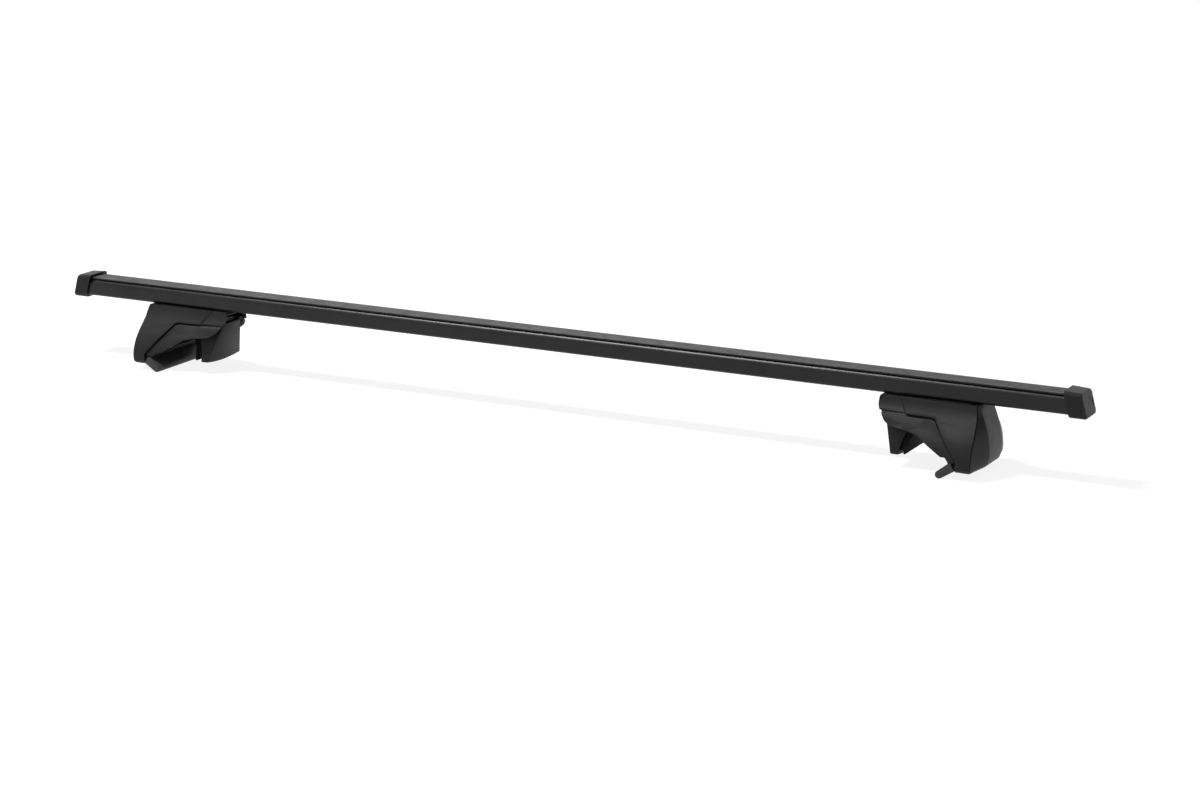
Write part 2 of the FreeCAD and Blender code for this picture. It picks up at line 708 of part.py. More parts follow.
def top_strip():
    half = CAP_IN_TOP - PART_GAP
    base = BAR_TOP + RUN_FIT
    wide = STRIP_WIDTH / 2
    outline = [(-wide, base), (wide, base), (wide, STRIP_TOP, 0.8), (-wide, STRIP_TOP, 0.8)]
    plate = section_prism(outline, half)
    stem = GROOVE_WIDTH / 2 - FIT
    root = section_prism(rectangle(-stem, BAR_TOP - GROOVE_DEPTH + FIT, stem, base + 0.5), half)
    body = plate.fuse(root)
    pitch = (STRIP_WIDTH - 4) / STRIP_RIBS
    cuts = []
    for k in range(STRIP_RIBS - 1):
        y = pitch * (k - (STRIP_RIBS - 2) / 2)
        vee = [(y - 0.7, STRIP_TOP + 0.1), (y, STRIP_TOP - RIB_DEPTH), (y + 0.7, STRIP_TOP + 0.1)]
        cuts.append(section_prism(vee, half))
    return body.cut(cuts)


def right_cap():
    half = BAR_WIDTH / 2 + CAP_WALL
    ends = ((CAP_IN_TOP, CAP_TOP + CAP_FALL), (CAP_OUT_TOP + CAP_SLANT, CAP_TOP - CAP_FALL))
    rings = []
    for x, top in ends:
        outline = rectangle(-half, CAP_BASE, half, top, CAP_CORNER)
        rings.append(Part.Wire(rounded_edges(outline, lambda y, z: Vector(x, y, z))))
    block = Part.makeLoft(rings, True, True)
    rise = CAP_FALL * tan(radians(CAP_LEAN))
    outline = [(CAP_IN_TOP - rise, CAP_TOP + CAP_FALL), (CAP_OUT_TOP - rise, CAP_TOP + CAP_FALL)]
    outline += [(CAP_OUT_TOP + CAP_SLANT, CAP_BASE), (CAP_IN_TOP + CAP_SLANT, CAP_BASE)]
    lean = prism(outline, lambda x, z: Vector(x, -60, z), Vector(0, 120, 0))
    shell = block.common(lean)
    rims = [e for e in shell.Edges if e.BoundBox.XMin > CAP_OUT_TOP - 0.1]
    shell = shell.makeFillet(CAP_RIM, rims)
    sleeve = Part.Face(Part.Wire(Part.__sortEdges__(rounded_edges(
        bar_outline(FIT), lambda y, z: Vector(0, y, z))))).extrude(Vector(TUBE_HALF + FIT, 0, 0))
    shell = shell.cut(sleeve)
    wide = STRIP_WIDTH / 2 + FIT
    notch = Part.makeBox(CAP_IN_TOP + 1.2, 2 * wide, STRIP_PROUD + 1, Vector(0, -wide, BAR_TOP - 1))
    shell = shell.cut(notch)
    plug = section_prism(bar_outline(-BAR_WALL - FIT), TUBE_HALF + 1)
    plug = plug.cut(section_prism(groove(BAR_WALL + FIT, BAR_WALL + FIT), TUBE_HALF + 1))
    start = TUBE_HALF - PLUG_LENGTH
    plug = plug.common(Part.makeBox(PLUG_LENGTH + 1, 60, 60, Vector(start, -30, BAR_BASE - 5)))
    core = section_prism(bar_outline(-BAR_WALL - 3.2), TUBE_HALF + 2)
    core = core.cut(section_prism(groove(BAR_WALL + 3.2, BAR_WALL + 3.2), TUBE_HALF + 2))
    core = core.common(Part.makeBox(PLUG_LENGTH, 60, 60, Vector(start - 1, -30, BAR_BASE - 5)))
    low = (CAP_BASE + CAP_TOP - CAP_SLOT_HEIGHT) / 2
    deep = CAP_OUT_TOP + CAP_SLANT / 2 - CAP_SLOT_DEPTH
    side = CAP_SLOT_Y - CAP_SLOT_WIDTH / 2
    slot = Part.makeBox(20, CAP_SLOT_WIDTH, CAP_SLOT_HEIGHT, Vector(deep, side, low))
    return shell.fuse(plug.cut(core)).cut(slot)


def mirrored(shape):
    return shape.mirror(Vector(0, 0, 0), Vector(1, 0, 0))


def main():
    os.makedirs("parts", exist_ok=True)
    nodes = {"crossbar": crossbar(), "top_strip": top_strip()}
    cap = right_cap()
    nodes["right_end_cap"] = cap
    nodes["left_end_cap"] = mirrored(cap)
    makers = (foot_cover, end_cover, saddle, saddle_pad, hook_bracket, hook_boot, clamp_jaw, jaw_pad,
              clamp_nut, clamp_screw, screw_washer, bar_bolts, bar_nuts)
    for maker in makers:
        shape = maker()
        nodes["right_" + maker.__name__] = shape
        nodes["left_" + maker.__name__] = mirrored(shape)
    for name, shape in nodes.items():
        shape.exportStep("parts/" + name + ".step")


main()
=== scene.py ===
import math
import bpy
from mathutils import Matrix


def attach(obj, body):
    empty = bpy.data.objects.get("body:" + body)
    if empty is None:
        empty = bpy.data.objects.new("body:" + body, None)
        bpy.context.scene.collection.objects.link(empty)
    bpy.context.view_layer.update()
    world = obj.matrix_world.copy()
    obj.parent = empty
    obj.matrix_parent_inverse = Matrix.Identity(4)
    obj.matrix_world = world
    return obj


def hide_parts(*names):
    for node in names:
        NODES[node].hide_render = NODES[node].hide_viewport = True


bl_info = {
    "name": "Roof Cross Bar",
    "version": (1, 0, 0),
    "blender": (4, 5, 0),
    "location": "View3D > Sidebar > Cross Bar",
    "description": "Dresses a packed roof cross bar with its clamp feet and sets up a plain studio",
    "category": "Object",
}

import bpy
from bpy.props import FloatProperty, FloatVectorProperty, PointerProperty
from mathutils import Vector

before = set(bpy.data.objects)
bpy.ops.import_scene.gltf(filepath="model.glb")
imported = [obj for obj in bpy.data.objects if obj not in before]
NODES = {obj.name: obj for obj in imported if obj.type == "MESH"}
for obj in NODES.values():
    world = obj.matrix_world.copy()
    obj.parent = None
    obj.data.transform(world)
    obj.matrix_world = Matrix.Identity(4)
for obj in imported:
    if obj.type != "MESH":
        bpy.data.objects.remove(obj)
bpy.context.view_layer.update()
SIDES = ("left", "right")

# Meshes: metres, and angles in radians.
MERGE_DISTANCE = 1e-5
STRAY_SHARE = 0.6
FLAT_ANGLE = math.radians(0.4)
SHARP_ANGLE = math.radians(28.0)
SMOOTH_ANGLE = math.radians(32.0)
EDGE_SEGMENTS = 2
CORNER_SLACK = 2e-5
END_SEGMENTS = 4
END_FACING = 0.8
END_OUTLINE = 0.7
END_LEVEL_SLACK = 1e-4

# Finishes: grain is the width and the depth of the moulded texture, shine is the specular level.
FINE_GRAIN = (0.0005, 0.00004)
COARSE_GRAIN = (0.0007, 0.00006)
PLASTIC_SHINE = 0.17
COAT_SHINE = 0.25
PAD_SHINE = 0.1
STRIP_SHINE = 0.2
BOOT_SHINE = 0.3
BRACKET_ROUGHNESS = 0.4
# Painted shade: depths below the strip's top over which its grooves and side walls are darkened.
STRIP_SHADE_DEPTHS = (0.0009, 0.0001)

# Stage: places and sizes in metres, the camera's turn in degrees.
WHITE = (1.0, 1.0, 1.0, 1.0)
FLOOR_SIZE = 60.0
FLOOR_SHADE = (0.25, 0.25, 0.25, 1.0)
FLOOR_LIFT = {"From Min": 0.8, "From Max": 3.0, "To Min": 0.87, "To Max": 0.99}
ROOM_BRIGHT_SIDE = (-0.3, -0.2, 0.93)
ROOM_GRADE = {"From Min": 0.55, "From Max": 1.0, "To Min": 0.05, "To Max": 0.5}
KEY_PLACE, KEY_TARGET, KEY_SIZE = (-0.92, -0.53, 2.1), (-0.92, -0.53, 0.0), (1.05, 0.2)
CARD_PLACE, CARD_TARGET, CARD_SIZE = (-0.5, -3.1, 0.55), (0.0, 0.0, 0.05), (2.6, 0.9)
RIM_PLACE, RIM_TARGET, RIM_SIZE = (2.5, -1.65, 0.3), (0.6, 0.0, 0.08), (0.35, 0.8)
CAMERA_PLACE = (1.4906, -2.7443, 0.80285)
CAMERA_TURN = (75.833, -0.206, 27.382)
CAMERA_CLIP = (0.05, 200.0)
SENSOR_WIDTH = 36.0


def colour_property(label, words, value):
    """A colour that a user may change."""
    return FloatVectorProperty(name=label, description=words, subtype="COLOR", size=3, min=0.0, max=1.0,
                               default=value)


def share_property(label, words, value):
    """A share from 0 to 1 that a user may change."""
    return FloatProperty(name=label, description=words, subtype="FACTOR", min=0.0, max=1.0, default=value)


def length_property(label, words, value):
    """A length in metres that a user may change."""
    return FloatProperty(name=label, description=words, subtype="DISTANCE", unit="LENGTH", precision=5,
                         default=value)


def power_property(label, words, value):
    """A lamp's power in watts that a user may change."""
    return FloatProperty(name=label, description=words, unit="POWER", default=value)


class CrossBarFinishes(bpy.types.PropertyGroup):
    """Colours and finishes of the bar and its feet."""

    coat_colour: colour_property("Bar coat", "Powder coat of the steel bar", (0.007, 0.007, 0.007))
    coat_roughness: share_property("Bar coat roughness", "How dull the bar's coat is", 0.3)
    strip_colour: colour_property("Strip", "Ribbed rubber strip", (0.05, 0.05, 0.05))
    strip_roughness: share_property("Strip roughness", "How dull the strip is", 0.5)
    cap_colour: colour_property("Caps", "Moulded end caps", (0.009, 0.009, 0.009))
    cap_roughness: share_property("Cap roughness", "How dull the caps are", 0.42)
    cover_colour: colour_property("Covers", "Moulded foot covers", (0.01, 0.01, 0.01))
    cover_roughness: share_property("Cover roughness", "How dull the covers are", 0.4)
    saddle_colour: colour_property("Saddles", "Moulded saddles", (0.012, 0.012, 0.012))
    saddle_roughness: share_property("Saddle roughness", "How dull the saddles are", 0.44)
    jaw_colour: colour_property("Jaws", "Moulded jaws", (0.008, 0.008, 0.008))
    jaw_roughness: share_property("Jaw roughness", "How dull the jaws are", 0.46)
    pad_colour: colour_property("Pads", "Rubber pads of the saddles and jaws", (0.005, 0.005, 0.005))
    pad_roughness: share_property("Pad roughness", "How dull the pads are", 0.7)
    boot_colour: colour_property("Boots", "Rubber boots on the lips", (0.03, 0.03, 0.03))
    boot_roughness: share_property("Boot roughness", "How dull the boots are", 0.5)
    plate_colour: colour_property("Brackets", "Coated steel brackets", (0.012, 0.012, 0.012))
    steel_colour: colour_property("Fixings", "Zinc plated fixings", (0.56, 0.56, 0.54))


class CrossBarEdges(bpy.types.PropertyGroup):
    """Widths of the rounded edges and corners."""

    bar_corner: length_property("Bar corner", "Corner radius of the bar's tube", 0.004)
    bar_shoulder: length_property("Bar shoulder", "Radius of the bar's upper corners beside the strip", 0.007)
    cover_edge: length_property("Cover edges", "Rounding of the foot covers' edges", 0.0005)
    saddle_edge: length_property("Saddle edges", "Rounding of the saddles' edges", 0.0006)
    jaw_edge: length_property("Jaw edges", "Rounding of the jaws' edges", 0.001)
    cap_edge: length_property("Cap edges", "Rounding of the end caps' edges", 0.0006)
    cap_end: length_property("Cap ends", "Rounding round the end caps' end faces", 0.0028)
    pad_edge: length_property("Pad edges", "Rounding of the rubber pads' edges", 0.0005)
    plate_edge: length_property("Plate edges", "Rounding of the steel plates' edges", 0.0004)


class CrossBarStage(bpy.types.PropertyGroup):
    """Floor, light and camera."""

    floor_colour: colour_property("Floor", "Pale studio floor", (0.8, 0.8, 0.8))
    key_power: power_property("Key light", "Strip softbox above the bar", 64.0)
    fill_power: power_property("Fill light", "Low wide card at the front", 12.0)
    rim_power: power_property("Rim light", "Narrow card at the right front", 12.0)
    lens: FloatProperty(name="Lens", description="Focal length on a 36 mm sensor", subtype="DISTANCE_CAMERA",
                        default=86.26)


def finishes():
    return bpy.context.scene.cross_bar_finishes


def edges():
    return bpy.context.scene.cross_bar_edges


def stage_settings():
    return bpy.context.scene.cross_bar_stage


def add_node(tree, kind, values=(), **settings):
    """A node with its settings, and values for its inputs by name or number."""
    made = tree.nodes.new(kind)
    for name, value in settings.items():
        setattr(made, name, value)
    for name, value in dict(values).items():
        made.inputs[name].default_value = value
    return made


def empty_tree(data):
    """The cleared node tree of a material or world."""
    data.use_nodes = True
    data.node_tree.nodes.clear()
    return data.node_tree


def new_material(name):
    """An empty node material and its shader."""
    material = bpy.data.materials.new(name)
    tree = empty_tree(material)
    output = add_node(tree, "ShaderNodeOutputMaterial")
    shader = add_node(tree, "ShaderNodeBsdfPrincipled")
    tree.links.new(shader.outputs["BSDF"], output.inputs["Surface"])
    return material, tree, shader


def mottled_colour(tree, source, colour, spread, scale):
    """Base colour that drifts a little over the surface."""
    noise = add_node(tree, "ShaderNodeTexNoise", {"Scale": scale, "Detail": 3.0, "Roughness": 0.6})
    tree.links.new(source, noise.inputs["Vector"])
    ramp = add_node(tree, "ShaderNodeValToRGB")
    ramp.color_ramp.elements[0].position = 0.3
    ramp.color_ramp.elements[1].position = 0.72
    ramp.color_ramp.elements[0].color = [c * (1 - spread) for c in colour] + [1.0]
    ramp.color_ramp.elements[1].color = [min(1.0, c * (1 + spread)) for c in colour] + [1.0]
    tree.links.new(noise.outputs["Fac"], ramp.inputs["Fac"])
    return ramp.outputs["Color"]


def ranged(tree, source, low, high):
    """A 0 to 1 signal brought into the range low to high."""
    made = add_node(tree, "ShaderNodeMapRange", {"To Min": low, "To Max": high})
    tree.links.new(source, made.inputs["Value"])
    return made.outputs["Result"]


def moulded_plastic(name, colour, roughness, texture):
    """Moulded black plastic: a pebbled spark grain, faint flow marks and a drifting sheen."""
    grain, depth = texture
    material, tree, shader = new_material(name)
    place = add_node(tree, "ShaderNodeTexCoord").outputs["Object"]
    tree.links.new(mottled_colour(tree, place, colour, 0.22, 38.0), shader.inputs["Base Color"])
    pebble = add_node(tree, "ShaderNodeTexVoronoi", {"Scale": 1.0 / grain, "Randomness": 1.0}, feature="SMOOTH_F1")
    speck = add_node(tree, "ShaderNodeTexNoise", {"Scale": 0.7 / grain, "Detail": 2.0, "Roughness": 0.55})
    flow = add_node(tree, "ShaderNodeTexNoise", {"Scale": 55.0, "Detail": 4.0, "Roughness": 0.5, "Distortion": 0.6})
    for pattern in (pebble, speck, flow):
        tree.links.new(place, pattern.inputs["Vector"])
    height = add_node(tree, "ShaderNodeMath", operation="ADD")
    tree.links.new(pebble.outputs["Distance"], height.inputs[0])
    tree.links.new(speck.outputs["Fac"], height.inputs[1])
    bump = add_node(tree, "ShaderNodeBump", {"Strength": 0.35, "Distance": depth})
    tree.links.new(height.outputs["Value"], bump.inputs["Height"])
    tree.links.new(bump.outputs["Normal"], shader.inputs["Normal"])
    tree.links.new(ranged(tree, flow.outputs["Fac"], roughness - 0.06, roughness + 0.08), shader.inputs["Roughness"])
    shader.inputs["Specular IOR Level"].default_value = PLASTIC_SHINE
    return material


def powder_coat(name, colour, roughness):
    """Satin powder coat on steel: orange peel, fine dust specks and draw lines along the bar."""
    material, tree, shader = new_material(name)
    place = add_node(tree, "ShaderNodeTexCoord").outputs["Object"]
    tree.links.new(mottled_colour(tree, place, colour, 0.3, 24.0), shader.inputs["Base Color"])
    stretch = add_node(tree, "ShaderNodeMapping", {"Scale": (0.02, 1.0, 1.0)})
    tree.links.new(place, stretch.inputs["Vector"])
    draw = add_node(tree, "ShaderNodeTexNoise", {"Scale": 900.0, "Detail": 2.0, "Roughness": 0.5})
    tree.links.new(stretch.outputs["Vector"], draw.inputs["Vector"])
    peel = add_node(tree, "ShaderNodeTexNoise", {"Scale": 1100.0, "Detail": 2.0, "Roughness": 0.5})
    tree.links.new(place, peel.inputs["Vector"])
    height = add_node(tree, "ShaderNodeMath", {1: 0.5}, operation="MULTIPLY_ADD")
    tree.links.new(draw.outputs["Fac"], height.inputs[0])
    tree.links.new(peel.outputs["Fac"], height.inputs[2])
    bump = add_node(tree, "ShaderNodeBump", {"Strength": 0.12, "Distance": 0.00006})
    tree.links.new(height.outputs["Value"], bump.inputs["Height"])
    tree.links.new(bump.outputs["Normal"], shader.inputs["Normal"])
    tree.links.new(ranged(tree, draw.outputs["Fac"], roughness - 0.05, roughness + 0.07), shader.inputs["Roughness"])
    shader.inputs["Specular IOR Level"].default_value = COAT_SHINE
    return material


def black_rubber(name, colour, roughness, shine):
    """Black rubber: dull, with a fine bloom and a faint mould texture."""
    material, tree, shader = new_material(name)
    place = add_node(tree, "ShaderNodeTexCoord").outputs["Object"]
    tree.links.new(mottled_colour(tree, place, colour, 0.4, 60.0), shader.inputs["Base Color"])
    bloom = add_node(tree, "ShaderNodeTexNoise", {"Scale": 140.0, "Detail": 4.0, "Roughness": 0.6})
    skin = add_node(tree, "ShaderNodeTexNoise", {"Scale": 2600.0, "Detail": 2.0, "Roughness": 0.6})
    for pattern in (bloom, skin):
        tree.links.new(place, pattern.inputs["Vector"])
    bump = add_node(tree, "ShaderNodeBump", {"Strength": 0.4, "Distance": 0.00008})
    tree.links.new(skin.outputs["Fac"], bump.inputs["Height"])
    tree.links.new(bump.outputs["Normal"], shader.inputs["Normal"])
    tree.links.new(ranged(tree, bloom.outputs["Fac"], roughness - 0.08, roughness + 0.1), shader.inputs["Roughness"])
    shader.inputs["Specular IOR Level"].default_value = shine
    return material


def paint_shade_below(tree, shader, place, low, high):
    """Paints shade into a shader's colour: darker towards the height low, the painted shade of grooves and side
    walls.
    """
    spot = add_node(tree, "ShaderNodeSeparateXYZ")
    tree.links.new(place, spot.inputs[0])
    rise = add_node(tree, "ShaderNodeMapRange", {"From Min": low, "From Max": high, "To Min": 0.04, "To Max": 1.0})
    tree.links.new(spot.outputs["Z"], rise.inputs["Value"])
    shade = add_node(tree, "ShaderNodeMix", data_type="RGBA", blend_type="MULTIPLY")
    shade.inputs["Factor"].default_value = 1.0
    colour = shader.inputs["Base Color"].links[0].from_socket
    tree.links.new(colour, shade.inputs["A"])
    tree.links.new(rise.outputs["Result"], shade.inputs["B"])
    tree.links.new(shade.outputs["Result"], shader.inputs["Base Color"])


def zinc_plate(name, colour):
    """Zinc plated steel: pale metal with a faint spangle and fine turning marks."""
    material, tree, shader = new_material(name)
    place = add_node(tree, "ShaderNodeTexCoord").outputs["Object"]
    tree.links.new(mottled_colour(tree, place, colour, 0.16, 420.0), shader.inputs["Base Color"])
    marks = add_node(tree, "ShaderNodeTexNoise", {"Scale": 1500.0, "Detail": 3.0, "Roughness": 0.6})
    tree.links.new(place, marks.inputs["Vector"])
    bump = add_node(tree, "ShaderNodeBump", {"Strength": 0.2, "Distance": 0.00005})
    tree.links.new(marks.outputs["Fac"], bump.inputs["Height"])
    tree.links.new(bump.outputs["Normal"], shader.inputs["Normal"])
    tree.links.new(ranged(tree, marks.outputs["Fac"], 0.26, 0.42), shader.inputs["Roughness"])
    shader.inputs["Metallic"].default_value = 1.0
    return material


def dress(node, material):
    """Gives a CAD node its finished material in every slot."""
    item = NODES[node]
    if not item.material_slots:
        item.data.materials.append(material)
    for slot in item.material_slots:
        slot.material = material


def dress_both(piece, material):
    """Dresses the left and the right node of a piece."""
    for side in SIDES:
        dress(side + "_" + piece, material)


def select_only(item):
    """Makes one object the selected and active one."""
    bpy.ops.object.select_all(action="DESELECT")
    item.select_set(True)
    bpy.context.view_layer.objects.active = item


def clear_selection(item, kind):
    """Leaves nothing selected in an object's mesh, with points, edges or faces to be selected next."""
    select_only(item)
    bpy.ops.object.mode_set(mode="EDIT")
    bpy.ops.mesh.select_mode(type=kind)
    bpy.ops.mesh.select_all(action="DESELECT")
    bpy.ops.object.mode_set(mode="OBJECT")


def skin_of(node, name):
    """A new piece with its own copy of a CAD node's mesh, merged into one skin with whole flat faces."""
    item = bpy.data.objects.new(name, NODES[node].data.copy())
    bpy.context.scene.collection.objects.link(item)
    item.data.materials.clear()
    select_only(item)
    if item.data.has_custom_normals:
        bpy.ops.mesh.customdata_custom_splitnormals_clear()
    bpy.ops.object.mode_set(mode="EDIT")
    bpy.ops.mesh.select_all(action="SELECT")
    bpy.ops.mesh.remove_doubles(threshold=MERGE_DISTANCE)
    bpy.ops.mesh.dissolve_degenerate(threshold=2 * MERGE_DISTANCE)
    bpy.ops.mesh.dissolve_limited(angle_limit=FLAT_ANGLE)
    bpy.ops.object.mode_set(mode="OBJECT")
    return item


def settle_strays(item, node, reach):
    """Lays the points that a bevel threw further than reach from the node's surface back onto it."""
    target = NODES[node]
    group = item.vertex_groups.new(name="strays")
    for point in item.data.vertices:
        found, nearest, normal, face = target.closest_point_on_mesh(point.co)
        if found and (nearest - point.co).length > reach:
            group.add([point.index], 1.0, "REPLACE")
    wrap = item.modifiers.new("settled", "SHRINKWRAP")
    wrap.target = target
    wrap.wrap_method = "NEAREST_SURFACEPOINT"
    wrap.vertex_group = group.name
    bpy.ops.object.modifier_apply(modifier=wrap.name)
    item.vertex_groups.clear()


def round_edges(item, node, width, reach=0.0):
    """Rounds the sharp edges of a piece and shades the rest smooth; reach spares a wider rounding made before."""
    select_only(item)
    bevel = item.modifiers.new("rounded_edges", "BEVEL")
    bevel.width = width
    bevel.segments = EDGE_SEGMENTS
    bevel.limit_method = "ANGLE"
    bevel.angle_limit = SHARP_ANGLE
    bevel.use_clamp_overlap = reach > 0.0
    bpy.ops.object.modifier_apply(modifier=bevel.name)
    settle_strays(item, node, max(reach, STRAY_SHARE * width))
    bpy.ops.object.mode_set(mode="EDIT")
    bpy.ops.mesh.select_all(action="SELECT")
    bpy.ops.mesh.dissolve_degenerate(threshold=MERGE_DISTANCE)
    bpy.ops.mesh.normals_make_consistent(inside=False)
    bpy.ops.object.mode_set(mode="OBJECT")
    bpy.ops.object.shade_smooth_by_angle(angle=SMOOTH_ANGLE)


def widen_shoulders(item, corner, wanted):
    """Brings the upper outer corners of the bar from one radius to a wider one, ring by ring."""
    half = max(point.co.y for point in item.data.vertices)
    top = max(point.co.z for point in item.data.vertices)
    rings = {}
    for point in item.data.vertices:
        out, up = abs(point.co.y) - half + corner, point.co.z - top + corner
        if min(out, up) > -CORNER_SLACK / 20 and abs(math.hypot(out, up) - corner) < CORNER_SLACK:
            side = math.copysign(1.0, point.co.y)
            rings.setdefault((side, round(math.atan2(up, out), 3)), []).append(point.index)
    if not rings:
        raise RuntimeError("The bar has no upper corners of the given radius.")
    grow = wanted - corner
    for (side, turn), ring in rings.items():
        clear_selection(item, "VERT")
        for index in ring:
            item.data.vertices[index].select = True
        across, rise = side * grow * (math.cos(turn) - 1.0), grow * (math.sin(turn) - 1.0)
        bpy.ops.object.mode_set(mode="EDIT")
        bpy.ops.transform.translate(value=(0.0, across, rise))
        bpy.ops.object.mode_set(mode="OBJECT")


def round_end(item, width):
    """Rounds the outline of a cap's slanted end face widely."""
    clear_selection(item, "EDGE")
    mesh = item.data
    outward = math.copysign(1.0, mesh.vertices[0].co.x)
    facing = [face for face in mesh.polygons if face.normal.x * outward > END_FACING]
    end = max(facing, key=lambda face: face.area)
    level = [face for face in facing if face.normal.dot(end.normal) > 0.9999
             and abs((face.center - end.center).dot(end.normal)) < END_LEVEL_SLACK]
    uses = {}
    for face in level:
        for key in face.edge_keys:
            uses[key] = uses.get(key, 0) + 1
    points = [mesh.vertices[i].co for face in level for i in face.vertices]
    low, high = (Vector([pick(p[axis] for p in points) for axis in range(3)]) for pick in (min, max))
    middle, half = (low + high) / 2, (high - low) / 2
    for edge in mesh.edges:
        if uses.get(edge.key) == 1:
            start, finish = (mesh.vertices[index].co for index in edge.vertices)
            spot = (start + finish) / 2 - middle
            edge.select = max(abs(spot.y) / half.y, abs(spot.z) / half.z) > END_OUTLINE
    bpy.ops.object.mode_set(mode="EDIT")
    bpy.ops.mesh.bevel(offset=width, segments=END_SEGMENTS, affect="EDGES", clamp_overlap=True)
    bpy.ops.object.mode_set(mode="OBJECT")


def rounded_piece(node, width, material, body, end_width=0.0):
    """A CAD node's shape with rounded edges, which stands in for it."""
    item = skin_of(node, node + "_rounded")
    if end_width:
        round_end(item, end_width)
    round_edges(item, node, width, end_width / 2)
    item.data.materials.append(material)
    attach(item, body)
    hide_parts(node)


def rounded_pair(piece, width, material, body, end_width=0.0):
    """The left and the right rounded piece, on the bar or each on its own side's body."""
    for side in SIDES:
        place = body if body == "bar" else side + "_" + body
        rounded_piece(side + "_" + piece, width, material, place, end_width)


class CROSSBAR_OT_bar(bpy.types.Operator):
    """Shape and powder coat the steel bar"""

    bl_idname = "crossbar.bar"
    bl_label = "Steel Bar"

    def execute(self, context):
        look = finishes()
        item = skin_of("crossbar", "crossbar_shaped")
        widen_shoulders(item, edges().bar_corner, edges().bar_shoulder)
        bpy.ops.object.shade_smooth_by_angle(angle=SMOOTH_ANGLE)
        item.data.materials.append(powder_coat("bar_powder_coat", look.coat_colour, look.coat_roughness))
        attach(item, "bar")
        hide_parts("crossbar")
        return {"FINISHED"}


class CROSSBAR_OT_strip(bpy.types.Operator):
    """Finish the ribbed rubber strip"""

    bl_idname = "crossbar.strip"
    bl_label = "Ribbed Strip"

    def execute(self, context):
        look = finishes()
        rubber = black_rubber("strip_rubber", look.strip_colour, look.strip_roughness, STRIP_SHINE)
        tree = rubber.node_tree
        shader = next(n for n in tree.nodes if n.type == "BSDF_PRINCIPLED")
        place = next(n for n in tree.nodes if n.type == "TEX_COORD").outputs["Object"]
        # Painted shade: the strip's colour darkens into its rib grooves and down its side walls.
        top = max(corner[2] for corner in NODES["top_strip"].bound_box)
        low, high = (top - depth for depth in STRIP_SHADE_DEPTHS)
        paint_shade_below(tree, shader, place, low, high)
        dress("top_strip", rubber)
        return {"FINISHED"}


class CROSSBAR_OT_caps(bpy.types.Operator):
    """Finish the end caps"""

    bl_idname = "crossbar.caps"
    bl_label = "End Caps"

    def execute(self, context):
        look = finishes()
        plastic = moulded_plastic("cap_plastic", look.cap_colour, look.cap_roughness, FINE_GRAIN)
        rounded_pair("end_cap", edges().cap_edge, plastic, "bar", edges().cap_end)
        return {"FINISHED"}


class CROSSBAR_OT_covers(bpy.types.Operator):
    """Finish the foot covers"""

    bl_idname = "crossbar.covers"
    bl_label = "Foot Covers"

    def execute(self, context):
        look = finishes()
        plastic = moulded_plastic("cover_plastic", look.cover_colour, look.cover_roughness, FINE_GRAIN)
        rounded_pair("foot_cover", edges().cover_edge, plastic, "foot")
        rounded_pair("end_cover", edges().cover_edge, plastic, "cover")
        return {"FINISHED"}


class CROSSBAR_OT_saddles(bpy.types.Operator):
    """Finish the saddles and the steel brackets in them"""

    bl_idname = "crossbar.saddles"
    bl_label = "Saddles"

    def execute(self, context):
        look = finishes()
        plastic = moulded_plastic("saddle_plastic", look.saddle_colour, look.saddle_roughness, COARSE_GRAIN)
        rounded_pair("saddle", edges().saddle_edge, plastic, "foot")
        plate = powder_coat("bracket_coat", look.plate_colour, BRACKET_ROUGHNESS)
        rounded_pair("hook_bracket", edges().plate_edge, plate, "foot")
        return {"FINISHED"}


class CROSSBAR_OT_jaws(bpy.types.Operator):
    """Finish the sliding jaws"""

    bl_idname = "crossbar.jaws"
    bl_label = "Jaws"

    def execute(self, context):
        look = finishes()
        plastic = moulded_plastic("jaw_plastic", look.jaw_colour, look.jaw_roughness, COARSE_GRAIN)
        rounded_pair("clamp_jaw", edges().jaw_edge, plastic, "jaw")
        return {"FINISHED"}


class CROSSBAR_OT_pads(bpy.types.Operator):
    """Finish the rubber pads and boots"""

    bl_idname = "crossbar.pads"
    bl_label = "Pads and Boots"

    def execute(self, context):
        look = finishes()
        rubber = black_rubber("pad_rubber", look.pad_colour, look.pad_roughness, PAD_SHINE)
        for piece, body in (("saddle_pad", "foot"), ("jaw_pad", "jaw")):
            rounded_pair(piece, edges().pad_edge, rubber, body)
        boot = black_rubber("boot_rubber", look.boot_colour, look.boot_roughness, BOOT_SHINE)
        rounded_pair("hook_boot", edges().pad_edge, boot, "foot")
        return {"FINISHED"}


class CROSSBAR_OT_fixings(bpy.types.Operator):
    """Finish the screws, nuts, washers and bolts"""

    bl_idname = "crossbar.fixings"
    bl_label = "Fixings"

    def execute(self, context):
        steel = zinc_plate("zinc_plate", finishes().steel_colour)
        for piece in ("clamp_screw", "clamp_nut", "screw_washer", "bar_bolts", "bar_nuts"):
            dress_both(piece, steel)
        return {"FINISHED"}


